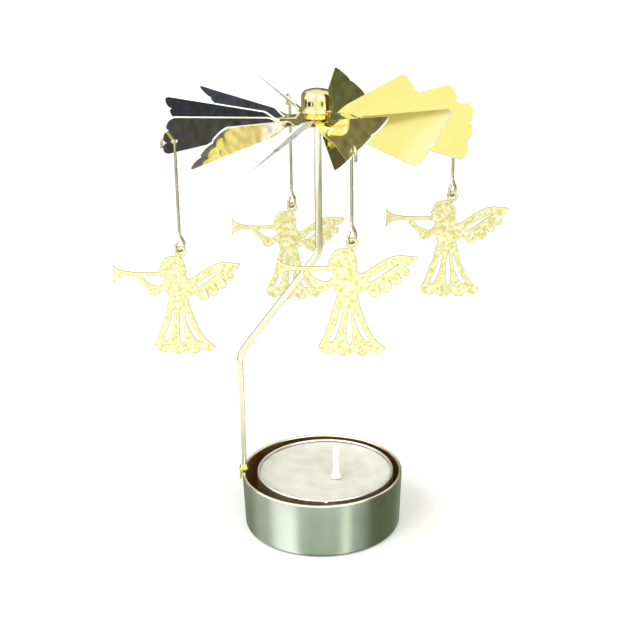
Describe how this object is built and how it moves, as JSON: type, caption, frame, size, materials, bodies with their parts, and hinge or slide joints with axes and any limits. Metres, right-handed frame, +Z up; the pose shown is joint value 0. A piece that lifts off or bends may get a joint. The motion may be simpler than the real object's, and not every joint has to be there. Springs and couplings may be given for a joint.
{
  "type": "candle carousel",
  "caption": "Tealight cup with a clipped bent stem, and a bladed wheel that turns in the warm air above the flame and carries hanging sheet angels.",
  "frame": {"origin": "middle of the cup's flat underside, on the surface it stands on", "axes": "+Z up along the wheel's spin axis, +X away from the stem's foot, +Y to the back"},
  "size_m": [0.1039, 0.0778, 0.1216],
  "materials": {
    "cup_steel": "brushed round the wall, with a pale gold rolled rim and a bronze inside",
    "tealight_foil": "thin bright pressed foil",
    "wax": "paraffin wax, soft and slightly translucent",
    "wick_cotton": "unburnt waxed cotton",
    "stem_brass": "bright pale plated strip",
    "polished_brass": "mirror polished",
    "wheel_brass": "mirror bright sheet",
    "wire_brass": "bright drawn wire",
    "etched_brass": "etched speckle with a bright edge"
  },
  "bodies": {
    "base": {"base_cup": "cup_steel"},
    "candle": {"tealight_cup": "tealight_foil", "tealight_wax": "wax", "wick": "wick_cotton", "wick_sustainer": "tealight_foil"},
    "stem": {"stem": "stem_brass"},
    "rotor": {"hub_dome": "polished_brass", "hub_collar": "polished_brass", "fan_wheel": "wheel_brass"},
    "hanger_left": {"hanger_left": "wire_brass"},
    "hanger_back": {"hanger_back": "wire_brass"},
    "hanger_front": {"hanger_front": "wire_brass"},
    "hanger_right": {"hanger_right": "wire_brass"},
    "pendant_left": {"pendant_left": "etched_brass"},
    "pendant_back": {"pendant_back": "etched_brass"},
    "pendant_front": {"pendant_front": "etched_brass"},
    "pendant_right": {"pendant_right": "etched_brass"}
  },
  "joints": [
    {"name": "candle_lift", "type": "slide", "parent": "base", "child": "candle", "axis": [0, 0, 1], "range_m": [0, 0.018]},
    {"name": "stem_unclip", "type": "slide", "parent": "base", "child": "stem", "axis": [0, 0, 1], "range_m": [0, 0.012]},
    {"name": "wheel_spin", "type": "hinge", "parent": "stem", "child": "rotor", "pos_m": [0, 0, 0.1203], "axis": [0, 0, 1], "continuous": true},
    {"name": "hanger_left_swing", "type": "hinge", "parent": "rotor", "child": "hanger_left", "pos_m": [-0.03544, -0.00765, 0.11033], "axis": [-0.2656, 0.9641, 0], "range_deg": [-8, 20]},
    {"name": "hanger_back_swing", "type": "hinge", "parent": "rotor", "child": "hanger_back", "pos_m": [-0.00765, 0.03544, 0.11231], "axis": [0.9641, 0.2656, 0], "range_deg": [-8, 20]},
    {"name": "hanger_front_swing", "type": "hinge", "parent": "rotor", "child": "hanger_front", "pos_m": [0.00765, -0.03544, 0.11294], "axis": [-0.9641, -0.2656, 0], "range_deg": [-8, 20]},
    {"name": "hanger_right_swing", "type": "hinge", "parent": "rotor", "child": "hanger_right", "pos_m": [0.03544, 0.00765, 0.11177], "axis": [0.2656, -0.9641, 0], "range_deg": [-8, 20]},
    {"name": "pendant_left_rock", "type": "hinge", "parent": "hanger_left", "child": "pendant_left", "pos_m": [-0.03544, -0.00765, 0.0817], "axis": [0, -1, 0], "range_deg": [-25, 25]},
    {"name": "pendant_back_rock", "type": "hinge", "parent": "hanger_back", "child": "pendant_back", "pos_m": [-0.00765, 0.03544, 0.0817], "axis": [0, -1, 0], "range_deg": [-25, 25]},
    {"name": "pendant_front_rock", "type": "hinge", "parent": "hanger_front", "child": "pendant_front", "pos_m": [0.00765, -0.03544, 0.0914], "axis": [0, -1, 0], "range_deg": [-25, 25]},
    {"name": "pendant_right_rock", "type": "hinge", "parent": "hanger_right", "child": "pendant_right", "pos_m": [0.03544, 0.00765, 0.0914], "axis": [0, -1, 0], "range_deg": [-25, 25]}
  ]
}
